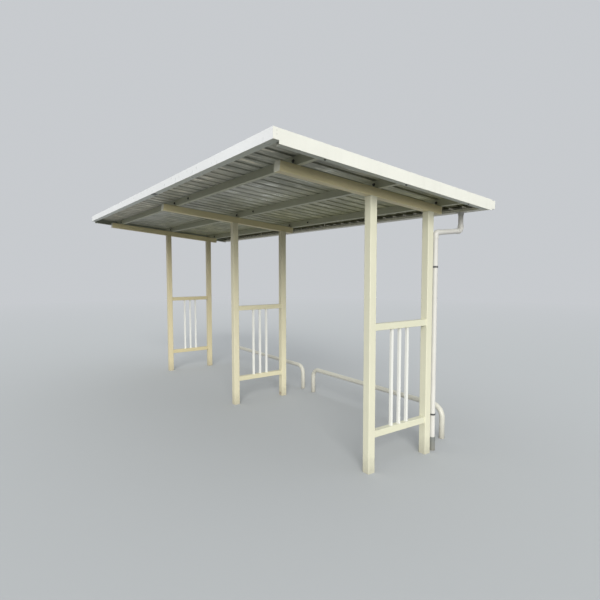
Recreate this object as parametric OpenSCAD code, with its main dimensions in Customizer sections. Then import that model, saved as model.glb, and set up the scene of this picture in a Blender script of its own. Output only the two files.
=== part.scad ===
// Two-bay bike shelter: three post frames under one sloping roof of ribbed sheet.
// Millimetres, +Z up, +X to the right along the length, -Y towards the high front eave.
// The origin is the centre of the middle front post's foot, on the floor.

/* [Frames] */
// Distance between neighbouring post frames
bay_pitch = 2150; // [1800:10:2600]
// Distance between the front and rear post of a frame
post_spacing = 635; // [500:5:900]
// Height of the beam's underside above the front posts
front_height = 2040; // [1800:10:2400]
// Fall of the roof towards the rear, in degrees
roof_slope = 5.6; // [2:0.1:10]
// Side of the square post and beam tube
tube_side = 65; // [50:1:100]
// Wall of the square tube
tube_wall = 2.3; // [1.6:0.1:4]
// Outer corner radius of the square tube
tube_corner = 5; // [3:0.5:8]
// Thickness of the plate that closes a post's foot
foot_plate = 4; // [3:1:8]
// Reach of a beam in front of the front post's centre
beam_front = 808; // [500:1:1100]
// Reach of a beam behind the rear post's centre
beam_rear = 126; // [60:1:300]
// Thickness of the cap on a beam's end
beam_cap = 3; // [2:0.5:6]

/* [Side guards] */
// Side of the square rail tube
rail_side = 50; // [30:1:60]
// Height of the top rail's upper face
rail_top = 1115; // [900:5:1300]
// Height of the bottom rail's upper face
rail_bottom = 312; // [150:1:500]
// Side of a guard bar
bar_side = 22; // [16:1:32]
// Distance between guard bar centres
bar_pitch = 86; // [50:1:150]
// Wall of the rail and bar tube
light_wall = 1.6; // [1.2:0.1:3]

/* [Roof] */
// Reach of the roof past the outer frames' centres
side_overhang = 280; // [100:5:500]
// Front face of the roof ahead of the front posts' centres
front_overhang = 1005; // [600:5:1400]
// Rear end of the gable fascias behind the front posts' centres
roof_rear = 1080; // [800:1:1600]
// Height of the purlin channel
purlin_h = 60; // [40:1:100]
// Width of the purlin channel's flange
purlin_w = 30; // [20:1:50]
// Length of the purlin channel's lip
purlin_lip = 10; // [6:1:20]
// Wall of the purlin channel
purlin_wall = 2.3; // [1.6:0.1:3.2]
// Place of the front purlin's web along the slope, ahead of the front posts
purlin_front = 684; // [400:1:1000]
// Distance between purlins along the slope
purlin_pitch = 714; // [400:1:900]
// Place of the joint in purlins and front fascia, right of the middle frame
joint_x = 320; // [100:5:700]
// Distance between the roof sheet's ribs
rib_pitch = 134; // [100:1:200]
// Height of a rib
rib_h = 18; // [12:1:50]
// Width of a rib's foot
rib_foot = 34; // [25:1:60]
// Width of a rib's crest
rib_crest = 18; // [10:1:30]
// Thickness of the roof sheet
sheet_t = 1.2; // [0.8:0.1:2]
// Height of the gable fascia
gable_h = 85; // [60:1:150]
// Height of the front fascia
fascia_h = 66; // [50:1:120]
// Thickness of the fascia sheet
fascia_t = 1.6; // [1:0.1:3]
// Width of the fascias' lower return
return_w = 50; // [20:1:80]
// Height of the upturned hem on a fascia's return
hem = 8; // [4:1:12]
// Width of the fascias' upper flange
flange_w = 30; // [20:1:60]
// Length of the cut-out in the gable fascia's lower front corner
corner_cut = 40; // [20:1:80]

/* [Drainage] */
// Front to back size of the gutter
gutter_w = 104; // [80:1:160]
// Reach of the gutter past the gable fascias' rear ends
gutter_reach = 46; // [30:1:80]
// Drop from the roof sheet to the gutter's underside, at the gutter's front wall
gutter_drop = 57; // [45:1:90]
// Height of the gutter's rear wall
gutter_h = 66; // [50:1:100]
// Height of the gutter's front wall
gutter_front_h = 20; // [15:1:35]
// Sheet thickness of the gutter
gutter_t = 1.6; // [1:0.1:3]
// Diameter of the rolled bead on the gutter's front wall
bead_d = 8; // [6:0.5:12]
// Gap between the roof sheet's end and the gutter's rear wall
sheet_gap = 14; // [8:1:60]
// Distance of the outlet's axis behind the gutter's front wall
outlet_in = 45; // [40:1:55]
// Outer diameter of the rain pipe
pipe_d = 42; // [30:1:60]
// Wall of the rain pipe
pipe_wall = 2.5; // [1.5:0.1:4]
// Distance of the rain pipe's axis from the rear post's rear face
pipe_stand_off = 67; // [40:1:100]
// Drop from the gutter's floor to the offset pipe's lower corner
offset_drop = 189; // [150:1:400]
// Slant of the offset pipe below level, in degrees
offset_slant = 5.3; // [3:0.1:30]
// Inner radius of the pipe elbows
elbow_inner = 6; // [6:1:40]
// Height of the drain socket's top
socket_top = 115; // [60:1:200]
// Height of the lower pipe clip
clip_low = 300; // [150:5:800]
// Drop from the lower elbow to the upper pipe clip
clip_drop = 260; // [60:1:600]

/* [Wheel hoops] */
// Outer diameter of the hoop tube
hoop_d = 38; // [25:1:60]
// Height of a hoop
hoop_h = 310; // [200:5:500]
// Length of a hoop
hoop_length = 1960; // [1500:10:2400]
// Distance of the hoops behind the front posts' centres
hoop_y = 1020; // [800:5:1400]
// Bend radius of a hoop's corners
hoop_bend = 100; // [60:5:160]

/* [Hidden] */
$fn = 64;
// Clearance between seated pieces
seat = 0.2;
half = tube_side / 2;
frame_x = bay_pitch;
roof_half = bay_pitch + side_overhang;
// Stack of the roof above the beams' underside, square to the slope
purlin_low = tube_side;
purlin_high = purlin_low + purlin_h;
sheet_low = purlin_high + seat;
crest_high = sheet_low + rib_h + sheet_t;
roof_high = crest_high + seat + fascia_t;
gable_low = roof_high - gable_h;
fascia_low = roof_high - fascia_h;
front_y = -front_overhang;
inner_half = roof_half - fascia_t;
beam_back = (post_spacing + beam_rear) / cos(roof_slope);
beam_fore = -beam_front;
gutter_back = roof_rear + gutter_reach;
gutter_front = gutter_back - gutter_w;
gutter_low = roof_z(gutter_front, sheet_low) - gutter_drop;
// Foremost line of the gutter's rolled bead
bead_front = gutter_front + gutter_t - seat - bead_d;
pipe_r = pipe_d / 2;
pipe_y = post_spacing + half + pipe_stand_off;
outlet_y = gutter_front + outlet_in;
outlet_x = bay_pitch;
collar_t = 2.5;
collar_len = 22;
bend_r = pipe_r + collar_t + elbow_inner;
bend_angle = 90 - offset_slant;
offset_low = gutter_low - offset_drop;
offset_high = offset_low + (outlet_y - pipe_y) * tan(offset_slant);
bend_reach = bend_r * tan(bend_angle / 2);
// Depth of a pipe end inside an elbow's bend, at its socket's step
socket_in = 1;
hoop_r = hoop_d / 2;
hoop_wall = 2;
hoop_start = 90;

// Height of a plane parallel to the roof at a place y, raised by lift square to the slope
function roof_z(y, lift) =
    front_height - y * tan(roof_slope) + lift / cos(roof_slope);

// Place along the slope of a point at y and lift
function slope_y(y, lift) = (y - lift * sin(roof_slope)) / cos(roof_slope);

// Frame whose Y runs down the slope and whose Z is square to the roof
module on_slope() {
    translate([0, 0, front_height]) rotate([-roof_slope, 0, 0]) children();
}

// Section drawn in Y and Z, drawn out along X from a to b
module along_x(a, b) {
    translate([a, 0, 0]) rotate([90, 0, 90]) linear_extrude(b - a) children();
}

module round_square(side, r) {
    square([side - 2 * r, side], center = true);
    square([side, side - 2 * r], center = true);
    for (sx = [-1, 1])
        for (sy = [-1, 1])
            translate([sx * (side / 2 - r), sy * (side / 2 - r)]) circle(r);
}

module tube_section(side, wall, r) {
    difference() {
        round_square(side, r);
        round_square(side - 2 * wall, r - wall / 2);
    }
}

// Everything above the beams' underside
module above_underside() {
    on_slope() translate([-20, -2000, 0]) translate([-200, 0, 0]) cube([440, 5000, 400]);
}

module post(x, y) {
    difference() {
        union() {
            translate([x, y, 0]) linear_extrude(front_height + 60)
                tube_section(tube_side, tube_wall, tube_corner);
            translate([x, y, 0]) linear_extrude(foot_plate)
                round_square(tube_side - tube_wall, tube_corner - tube_wall / 2);
        }
        translate([x, 0, 0]) above_underside();
    }
}

module right_front_post() {
    color("#e8e2c0") post(frame_x, 0);
}

module right_rear_post() {
    color("#e8e2c0") post(frame_x, post_spacing);
}

module middle_front_post() {
    color("#e8e2c0") post(0, 0);
}

module middle_rear_post() {
    color("#e8e2c0") post(0, post_spacing);
}

module left_front_post() {
    color("#e8e2c0") post(-frame_x, 0);
}

module left_rear_post() {
    color("#e8e2c0") post(-frame_x, post_spacing);
}

module cross_beam(x) {
    on_slope() translate([x, beam_back, half]) rotate([90, 0, 0])
        linear_extrude(beam_back - beam_fore)
        tube_section(tube_side, tube_wall, tube_corner);
}

module right_cross_beam() {
    color("#ddd6b4") cross_beam(frame_x);
}

module middle_cross_beam() {
    color("#ddd6b4") cross_beam(0);
}

module left_cross_beam() {
    color("#ddd6b4") cross_beam(-frame_x);
}

// Caps with a lip that sits inside the tube
module beam_end_caps() {
    color("#e9e6d2") on_slope()
        for (x = [-frame_x, 0, frame_x])
            for (end = [[beam_fore - seat / 2, 1], [beam_back + seat / 2, -1]])
                translate([x, end[0], half]) rotate([end[1] * 90, 0, 0]) {
                    linear_extrude(beam_cap) round_square(tube_side, tube_corner);
                    translate([0, 0, -8]) linear_extrude(9) difference() {
                        round_square(tube_side - 2 * tube_wall - 2 * seat, tube_corner - 1);
                        round_square(tube_side - 2 * tube_wall - 6, tube_corner - 2);
                    }
                }
}

// Lipped channel with its web to the front
module purlin_section() {
    difference() {
        square([purlin_w, purlin_h]);
        translate([purlin_wall, purlin_wall])
            square([purlin_w - 2 * purlin_wall, purlin_h - 2 * purlin_wall]);
        translate([purlin_w / 2, purlin_lip])
            square([purlin_w, purlin_h - 2 * purlin_lip]);
    }
}

function purlin_y(i) = -purlin_front + i * purlin_pitch;

module purlin(i) {
    end = inner_half - seat;
    on_slope() {
        along_x(-end, joint_x - 1) translate([purlin_y(i), purlin_low]) purlin_section();
        along_x(joint_x + 1, end) translate([purlin_y(i), purlin_low]) purlin_section();
    }
}

module front_purlin() {
    color("#c3c1a4") purlin(0);
}

module middle_purlin() {
    color("#c3c1a4") purlin(1);
}

module rear_purlin() {
    color("#c3c1a4") purlin(2);
}

// Angles inside the channels, over each beam
module purlin_cleats() {
    wide = 50;
    leg_t = 4;
    color("#b9b89c") on_slope()
        for (i = [0, 1, 2])
            for (x = [-frame_x, 0, frame_x])
                translate([x - wide / 2, purlin_y(i) + purlin_wall + seat,
                           purlin_low + purlin_wall + seat]) {
                    cube([wide, leg_t, purlin_h - 2 * purlin_wall - 8]);
                    cube([wide, purlin_w - 2 * purlin_wall - 2, leg_t]);
                }
}

// Plates behind the joints of the purlins
module purlin_joint_plates() {
    long = 150;
    plate_t = 3;
    color("#b9b89c") on_slope()
        for (i = [0, 1, 2])
            translate([joint_x - long / 2, purlin_y(i) + purlin_wall + seat,
                       purlin_low + purlin_wall + 6])
                cube([long, plate_t, purlin_h - 2 * purlin_wall - 12]);
}

// Gap between the outer ribs' crests and the gable fascias
rib_edge = 7.4;
rib_span = inner_half - rib_crest / 2 - rib_edge;
rib_count = floor(rib_span / rib_pitch);
rib_step = rib_span / rib_count;
rib_run = (rib_foot - rib_crest) / 2;
rib_shift = sheet_t * tan(atan(rib_h / rib_run) / 2);

// One side of the sheet: s is 0 for the lower face and 1 for the upper
function sheet_side(s) = [
    for (k = [-rib_count : rib_count])
        for (p = [[-rib_foot / 2, 0, -1], [-rib_crest / 2, 1, -1],
                  [rib_crest / 2, 1, 1], [rib_foot / 2, 0, 1]])
            if ((k > -rib_count || p[0] > -rib_foot / 2)
                && (k < rib_count || p[0] < rib_foot / 2))
                [k * rib_step + p[0] + s * p[2] * rib_shift, p[1] * rib_h + s * sheet_t]
];

function backwards(list) = [for (i = [len(list) - 1 : -1 : 0]) list[i]];

module roof_sheet() {
    sheet_front = slope_y(front_y + fascia_t + 4, sheet_low);
    sheet_back = slope_y(gutter_back - gutter_t - sheet_gap, sheet_low);
    color("#b7bab0") on_slope() translate([0, sheet_back, sheet_low]) rotate([90, 0, 0])
        linear_extrude(sheet_back - sheet_front)
        polygon(concat(sheet_side(0), backwards(sheet_side(1))));
}

// Points of a section given as [y, lift]
function roof_points(list) = [for (p = list) [p[0], roof_z(p[0], p[1])]];

module front_fascia_section() {
    y0 = front_y;
    polygon(roof_points([
        [y0, fascia_low], [y0 + return_w, fascia_low], [y0 + return_w, fascia_low + hem],
        [y0 + return_w - fascia_t, fascia_low + hem],
        [y0 + return_w - fascia_t, fascia_low + fascia_t], [y0 + fascia_t, fascia_low + fascia_t],
        [y0 + fascia_t, roof_high - fascia_t], [y0 + flange_w, roof_high - fascia_t],
        [y0 + flange_w, roof_high], [y0, roof_high]
    ]));
}

module front_fascia() {
    end = inner_half - seat;
    color("#f2f3ee") {
        along_x(-end, joint_x - 0.5) front_fascia_section();
        along_x(joint_x + 0.5, end) front_fascia_section();
    }
}

// Folded section of the gable fascia: web, lower return with a hem, and upper flange
module gable_section() {
    polygon([
        [roof_half, gable_low], [roof_half, roof_high],
        [roof_half - flange_w, roof_high], [roof_half - flange_w, roof_high - fascia_t],
        [inner_half, roof_high - fascia_t], [inner_half, gable_low + fascia_t],
        [roof_half - return_w + fascia_t, gable_low + fascia_t],
        [roof_half - return_w + fascia_t, gable_low + hem],
        [roof_half - return_w, gable_low + hem], [roof_half - return_w, gable_low]
    ]);
}

// Block inside the gable fascia's web, from y a to y b along the slope and between two lifts
module beside_web(a, b, low, high) {
    translate([roof_half - return_w - 1, a, low])
        cube([return_w + 1 - fascia_t, b - a, high - low]);
}

// Sheet cut for the front fascia, coped round the purlins and cut for the gutter
module gable_fascia() {
    far_front = slope_y(front_y, 0) - 100;
    far_back = slope_y(roof_rear, 0) + 100;
    corner = slope_y(front_y + corner_cut, fascia_low);
    intersection() {
        on_slope() difference() {
            translate([0, far_back, 0]) rotate([90, 0, 0])
                linear_extrude(far_back - far_front) gable_section();
            translate([roof_half - return_w - 1, far_front - 1, gable_low - 1])
                cube([return_w + 2, corner + 1 - far_front, fascia_low + 1 - gable_low]);
            beside_web(far_front - 1, corner + 14, gable_low - 1, gable_low + hem + 1);
            beside_web(far_front - 1, slope_y(front_y + flange_w + seat, roof_high - fascia_t),
                       roof_high - 10, roof_high + 1);
            beside_web(slope_y(gutter_front - 3, gable_low), far_back + 1,
                       gable_low - 1, gable_low + hem + 1);
            for (i = [0, 1, 2])
                beside_web(purlin_y(i) - 1, purlin_y(i) + purlin_w + 1,
                           purlin_low - 1, purlin_high);
        }
        along_x(roof_half - return_w - 2, roof_half + 2)
            translate([front_y, roof_z(roof_rear, gable_low) - 50])
            square([roof_rear - front_y, roof_z(front_y, roof_high) - roof_z(roof_rear, gable_low) + 100]);
    }
}

module right_gable_fascia() {
    color("#f3f2e4") gable_fascia();
}

module left_gable_fascia() {
    color("#f3f2e4") mirror([1, 0, 0]) gable_fascia();
}

// Half length of the gutter's sheets
gutter_end = inner_half - 2 * seat - gutter_t;

// Plate of the gutter's section, from y and height a to y and height b
module gutter_plate(a, b) {
    along_x(-gutter_end, gutter_end) translate(a) square(b - a);
}

module gutter_floor() {
    color("#c9cbb9") difference() {
        gutter_plate([gutter_front, gutter_low], [gutter_back, gutter_low + gutter_t]);
        translate([outlet_x, outlet_y, gutter_low - 1]) cylinder(r = pipe_r, h = gutter_t + 2);
    }
}

// Front wall with its upper edge rolled outwards into a bead
module gutter_front_wall() {
    bead_z = gutter_low + gutter_front_h - bead_d / 2;
    color("#c9cbb9") along_x(-gutter_end, gutter_end) {
        translate([gutter_front, gutter_low + gutter_t + seat])
            square([gutter_t, bead_z - gutter_low - gutter_t - seat]);
        translate([bead_front + bead_d / 2, bead_z]) difference() {
            circle(bead_d / 2);
            circle(bead_d / 2 - gutter_t);
        }
    }
}

module gutter_rear_wall() {
    color("#c9cbb9")
        gutter_plate([gutter_back - gutter_t, gutter_low + gutter_t + seat],
                     [gutter_back, gutter_low + gutter_h]);
}

module gutter_end_caps() {
    color("#f1f0e4") for (side = [-1, 1])
        translate([side * (gutter_end + seat + gutter_t / 2), 0, 0])
            along_x(-gutter_t / 2, gutter_t / 2)
            polygon([
                [gutter_front, gutter_low], [gutter_back, gutter_low],
                [gutter_back, gutter_low + gutter_h],
                [roof_rear - 12, gutter_low + gutter_h],
                [gutter_front, gutter_low + gutter_front_h]
            ]);
}

// Bent straps from the sheet's pans down to a toe under the gutter's bead
module gutter_hangers() {
    wide = 20;
    strap = 2;
    arm = 30;
    apart = floor(rib_count / 3);
    back = bead_front - seat;
    toe = gutter_low + gutter_front_h - bead_d - seat;
    color("#c0c2b0") for (side = [-1, 1])
        for (i = [0, 1, 2])
            translate([side * (i * apart + floor(apart / 2) - 0.5) * rib_step, 0, 0])
                along_x(-wide / 2, wide / 2)
                polygon([
                    [back - strap, toe - strap], [gutter_front - seat, toe - strap],
                    [gutter_front - seat, toe], [back, toe],
                    [back, roof_z(back, sheet_low - seat)],
                    [back - strap - arm, roof_z(back - strap - arm, sheet_low - seat)],
                    [back - strap - arm, roof_z(back - strap - arm, sheet_low - seat - strap)],
                    [back - strap, roof_z(back - strap, sheet_low - seat - strap)]
                ]);
}

module rail(x, top) {
    translate([x, half + seat, top - rail_side / 2]) rotate([-90, 0, 0])
        linear_extrude(post_spacing - tube_side - 2 * seat)
        tube_section(rail_side, light_wall, 3);
}

module right_top_rail() {
    color("#ece7ca") rail(frame_x, rail_top);
}

module middle_top_rail() {
    color("#ece7ca") rail(0, rail_top);
}

module left_top_rail() {
    color("#ece7ca") rail(-frame_x, rail_top);
}

module right_bottom_rail() {
    color("#ece7ca") rail(frame_x, rail_bottom);
}

module middle_bottom_rail() {
    color("#ece7ca") rail(0, rail_bottom);
}

module left_bottom_rail() {
    color("#ece7ca") rail(-frame_x, rail_bottom);
}

module guard_bars(x) {
    low = rail_bottom + seat;
    for (k = [-1, 0, 1])
        translate([x, post_spacing / 2 + k * bar_pitch, low])
            linear_extrude(rail_top - rail_side - seat - low)
            tube_section(bar_side, light_wall, 2);
}

module right_guard_bars() {
    color("#f6f5ec") guard_bars(frame_x);
}

module middle_guard_bars() {
    color("#f6f5ec") guard_bars(0);
}

module left_guard_bars() {
    color("#f6f5ec") guard_bars(-frame_x);
}

module ring(r_out, r_in, h) {
    difference() {
        cylinder(r = r_out, h = h);
        translate([0, 0, -1]) cylinder(r = r_in, h = h + 2);
    }
}

upper_start = offset_high + bend_reach;
lower_start = offset_low - bend_reach;

// Plate against the gutter's underside, cone and neck
module gutter_outlet() {
    neck = pipe_r + collar_t;
    plate = [2 * neck + 26, 2 * neck + 10];
    top = gutter_low - seat;
    base = upper_start + seat - socket_in;
    color("#e6e6dc") translate([outlet_x, outlet_y, 0]) difference() {
        union() {
            translate([-plate[0] / 2, -plate[1] / 2, top - 4]) cube([plate[0], plate[1], 4]);
            translate([0, 0, top - 34]) cylinder(r1 = pipe_r, r2 = neck + 4, h = 31);
            translate([0, 0, base]) cylinder(r = pipe_r, h = top - 33 - base);
        }
        translate([0, 0, base - 1]) cylinder(r = pipe_r - pipe_wall, h = top - base + 2);
    }
}

// Round bar bent about the local Z axis
module bend(r) {
    rotate_extrude(angle = bend_angle) translate([bend_r, 0]) circle(r);
}

// Round bars at both ends of a bend, from a depth inside it to a distance past it
module bend_ends(r, inside, past) {
    translate([bend_r, inside, 0]) rotate([90, 0, 0]) cylinder(r = r, h = inside + past);
    rotate([0, 0, bend_angle]) translate([bend_r, -inside, 0]) rotate([-90, 0, 0])
        cylinder(r = r, h = inside + past);
}

// Pipe bend with a socket at each end
module elbow() {
    difference() {
        union() {
            bend(pipe_r + collar_t);
            bend_ends(pipe_r + collar_t + 1, socket_in + 1.5, collar_len);
        }
        bend(pipe_r - pipe_wall);
        bend_ends(pipe_r + seat, socket_in, collar_len + 1);
    }
}

module upper_elbow() {
    color("#f4f4f0") translate([outlet_x, outlet_y - bend_r, upper_start])
        rotate([-90, 0, 90]) elbow();
}

module lower_elbow() {
    color("#f4f4f0") translate([outlet_x, pipe_y + bend_r, lower_start])
        rotate([90, 0, -90]) elbow();
}

module offset_pipe() {
    run = (outlet_y - pipe_y) / cos(offset_slant) - 2 * bend_reach;
    inset = seat - socket_in;
    color("#f4f4f0")
        translate([outlet_x, pipe_y + bend_reach * cos(offset_slant),
                   offset_low + bend_reach * sin(offset_slant)])
        rotate([offset_slant - 90, 0, 0]) translate([0, 0, inset])
        ring(pipe_r, pipe_r - pipe_wall, run - 2 * inset);
}

module downpipe() {
    low = socket_top - 30;
    color("#f4f4f0") translate([outlet_x, pipe_y, low])
        ring(pipe_r, pipe_r - pipe_wall, lower_start + socket_in - seat - low);
}

module drain_socket() {
    color("#8d938f") translate([outlet_x, pipe_y, 0]) {
        ring(pipe_r + 3.5, pipe_r - 3, socket_top - 32);
        translate([0, 0, socket_top - 33]) ring(pipe_r + 5, pipe_r + seat, 33);
    }
}

// Bands around the rain pipe with a leg to the post
module pipe_clips() {
    band_h = 14;
    color("#4b4d4c") for (z = [clip_low, lower_start - clip_drop])
        translate([outlet_x, pipe_y, z]) {
            ring(pipe_r + seat + 2, pipe_r + seat, band_h);
            difference() {
                translate([-2, -pipe_stand_off + seat, 0])
                    cube([4, pipe_stand_off, band_h]);
                translate([0, 0, -1]) cylinder(r = pipe_r + seat + 1, h = band_h + 2);
            }
            translate([-14, -pipe_stand_off + seat, 0]) cube([28, 2, band_h]);
        }
}

module hoop_body(r) {
    leg = hoop_h - hoop_r - hoop_bend;
    span = hoop_length - hoop_d - 2 * hoop_bend;
    translate([hoop_r, 0, 0]) {
        for (x = [0, span + 2 * hoop_bend])
            translate([x, 0, 0]) cylinder(r = r, h = leg);
        translate([hoop_bend, 0, leg + hoop_bend]) rotate([0, 90, 0])
            cylinder(r = r, h = span);
        translate([hoop_bend, 0, leg]) rotate([90, 0, 0]) rotate([0, 0, 90])
            rotate_extrude(angle = 90) translate([hoop_bend, 0]) circle(r);
        translate([hoop_bend + span, 0, leg]) rotate([90, 0, 0])
            rotate_extrude(angle = 90) translate([hoop_bend, 0]) circle(r);
    }
}

// Bent tube with its two feet closed
module wheel_hoop() {
    difference() {
        hoop_body(hoop_r);
        difference() {
            hoop_body(hoop_r - hoop_wall);
            translate([-1, -hoop_d, -1]) cube([hoop_length + 2, 2 * hoop_d, 4]);
        }
    }
}

module right_wheel_hoop() {
    color("#e4e2cf") translate([hoop_start, hoop_y, 0]) wheel_hoop();
}

module left_wheel_hoop() {
    color("#e4e2cf") translate([-hoop_start - hoop_length, hoop_y, 0]) wheel_hoop();
}

right_front_post();
right_rear_post();
middle_front_post();
middle_rear_post();
left_front_post();
left_rear_post();
right_cross_beam();
middle_cross_beam();
left_cross_beam();
beam_end_caps();
front_purlin();
middle_purlin();
rear_purlin();
purlin_cleats();
purlin_joint_plates();
roof_sheet();
front_fascia();
right_gable_fascia();
left_gable_fascia();
gutter_floor();
gutter_front_wall();
gutter_rear_wall();
gutter_end_caps();
gutter_hangers();
right_top_rail();
middle_top_rail();
left_top_rail();
right_bottom_rail();
middle_bottom_rail();
left_bottom_rail();
right_guard_bars();
middle_guard_bars();
left_guard_bars();
gutter_outlet();
upper_elbow();
offset_pipe();
lower_elbow();
downpipe();
drain_socket();
pipe_clips();
right_wheel_hoop();
left_wheel_hoop();
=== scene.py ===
"""Looks of a two-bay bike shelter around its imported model: finishes, fixings, welds, stage."""

import math

import bmesh
import bpy
from bpy.props import FloatProperty, FloatVectorProperty, IntProperty, PointerProperty
from mathutils import Matrix, Vector, noise


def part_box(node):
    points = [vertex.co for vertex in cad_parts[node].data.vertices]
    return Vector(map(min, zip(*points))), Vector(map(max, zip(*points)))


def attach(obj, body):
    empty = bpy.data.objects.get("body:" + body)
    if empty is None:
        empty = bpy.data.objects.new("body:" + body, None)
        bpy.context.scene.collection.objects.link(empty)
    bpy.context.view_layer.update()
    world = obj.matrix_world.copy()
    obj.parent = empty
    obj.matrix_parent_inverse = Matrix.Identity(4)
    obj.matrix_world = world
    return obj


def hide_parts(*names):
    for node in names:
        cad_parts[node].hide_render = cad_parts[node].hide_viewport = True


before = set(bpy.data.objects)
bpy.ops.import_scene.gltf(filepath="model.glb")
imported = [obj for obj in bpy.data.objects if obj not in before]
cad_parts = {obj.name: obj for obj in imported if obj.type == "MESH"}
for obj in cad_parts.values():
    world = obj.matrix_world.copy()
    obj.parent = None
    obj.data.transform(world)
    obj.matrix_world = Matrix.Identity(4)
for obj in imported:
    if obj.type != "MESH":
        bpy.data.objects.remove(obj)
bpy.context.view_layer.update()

bl_info = {
    "name": "Bike Shelter Looks",
    "version": (1, 0, 0),
    "blender": (4, 5, 0),
    "location": "3D View > Sidebar > Shelter",
    "description": "Paints the shelter and adds its bolts, screws, welds and studio",
    "category": "Object",
}

SIDES = ("right", "middle", "left")
POSTS = [f"{side}_{place}_post" for side in SIDES for place in ("front", "rear")]
BEAMS = [f"{side}_cross_beam" for side in SIDES]
RAILS = [f"{side}_{place}_rail" for side in SIDES for place in ("top", "bottom")]
BARS = [f"{side}_guard_bars" for side in SIDES]
PURLINS = ["front_purlin", "middle_purlin", "rear_purlin"]
HOOPS = ["right_wheel_hoop", "left_wheel_hoop"]
# Places under the sheet with painted reflections, as bright glints and a lighter glow: centre,
# radius, soft rim and weight
PAINTED_GLINT_PLACES = (
    ((1.00, -0.25, 2.18), 0.22, 0.55, 1.00), ((1.50, 0.30, 2.13), 0.18, 0.50, 0.60),
    ((-0.60, -0.35, 2.19), 0.15, 0.50, 0.50), ((1.10, -0.87, 2.24), 0.30, 0.50, 0.75),
    ((0.20, -0.87, 2.24), 0.40, 0.50, 0.75), ((-0.90, -0.87, 2.24), 0.40, 0.50, 1.00),
    ((2.30, -0.20, 2.18), 0.05, 0.20, 0.70), ((1.60, 0.80, 2.08), 0.25, 0.50, 0.60),
    ((-1.50, -0.60, 2.21), 0.18, 0.35, 1.00), ((-0.90, 0.55, 2.11), 0.25, 0.50, 0.50),
    ((-1.90, -0.87, 2.24), 0.30, 0.40, 0.90),
)
# Flush fixings in the face of the right gable fascia, by its front corner, in metres
FACE_FIXINGS = ((2.430, -0.980, 2.2667), (2.430, -0.980, 2.2466))
# Chipped paint low on the middle rear post, in metres
RUST_SPOT = (-0.0060, 0.6025, 0.024)
# What keeps a piece off the face that it stands on, in metres
GAP = 0.0001


# ---------------------------------------------------------------- settings


def colour(name, value, description):
    """A colour setting with the usual limits."""
    return FloatVectorProperty(
        name=name, description=description, default=value, subtype="COLOR", size=3, min=0, max=1
    )


def length(name, value, description):
    """A length setting in metres."""
    return FloatProperty(
        name=name, description=description, default=value, min=0, unit="LENGTH", precision=4
    )


class ShelterFinishes(bpy.types.PropertyGroup):
    """Colours of the shelter's finishes."""

    frame_paint: colour("Frame Paint", (0.73, 0.725, 0.57), "Posts of the frames")
    # Painted shade: the frames' cream made darker and yellower on the beams, as in the shade under
    # the roof
    beam_paint: colour("Beam Paint", (0.70, 0.63, 0.38), "Cross beams of the frames")
    rail_paint: colour("Rail Paint", (0.72, 0.72, 0.56), "Rails of the side guards")
    bar_paint: colour("Bar Paint", (0.80, 0.81, 0.77), "Upright bars of the side guards")
    cap_paint: colour("Cap Paint", (0.76, 0.76, 0.63), "Caps on the beam ends")
    hoop_paint: colour("Hoop Paint", (0.62, 0.615, 0.545), "Bent tubes that stop the wheels")
    purlin_paint: colour("Purlin Paint", (0.52, 0.53, 0.41), "Channels under the sheet")
    roof_sheet: colour("Roof Sheet", (0.47, 0.48, 0.42), "Ribbed sheet")
    fascia_paint: colour("Fascia Paint", (0.825, 0.835, 0.765), "Outer face of the gable fascias")
    # Painted light: the fascias' paint made whiter and bluer on the front fascia, as lit by the
    # sky
    front_paint: colour("Front Paint", (0.94, 0.96, 0.97), "Outer face of the front fascia")
    # Backing coat, also used as painted shade on the fascias' lower returns
    backing_coat_and_shade: colour("Backing Coat", (0.50, 0.53, 0.46), "Inner face of folded sheet")
    sheet_back: colour("Sheet Back", (0.44, 0.455, 0.385), "Lower face of the ribbed sheet")
    gutter_sheet: colour("Gutter Sheet", (0.62, 0.61, 0.50), "Gutter and its straps")
    rain_pipe: colour("Rain Pipe", (0.69, 0.685, 0.65), "Outlet, elbows and pipe")
    drain_grey: colour("Drain Grey", (0.185, 0.205, 0.205), "Socket in the ground")
    clip_metal: colour("Clip Metal", (0.07, 0.072, 0.075), "Pipe clips")
    zinc: colour("Zinc", (0.36, 0.365, 0.36), "Roof screws and rivets")
    dark_bolt: colour("Dark Bolt", (0.085, 0.087, 0.075), "Bolts of the purlins")
    # Painted highlight: near white, far lighter than the sheet itself, for daylight on the
    # turned-down ends
    drip_edge: colour("Drip Edge", (0.93, 0.93, 0.86), "Turned-down ends of the sheet")
    rust: colour("Rust", (0.16, 0.06, 0.025), "Rust at chipped paint")
    # Dust and dirt; also the colour of the painted shade inside the gutter
    grime_and_shade: colour("Grime", (0.27, 0.25, 0.20), "Dust and splashed dirt")


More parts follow.
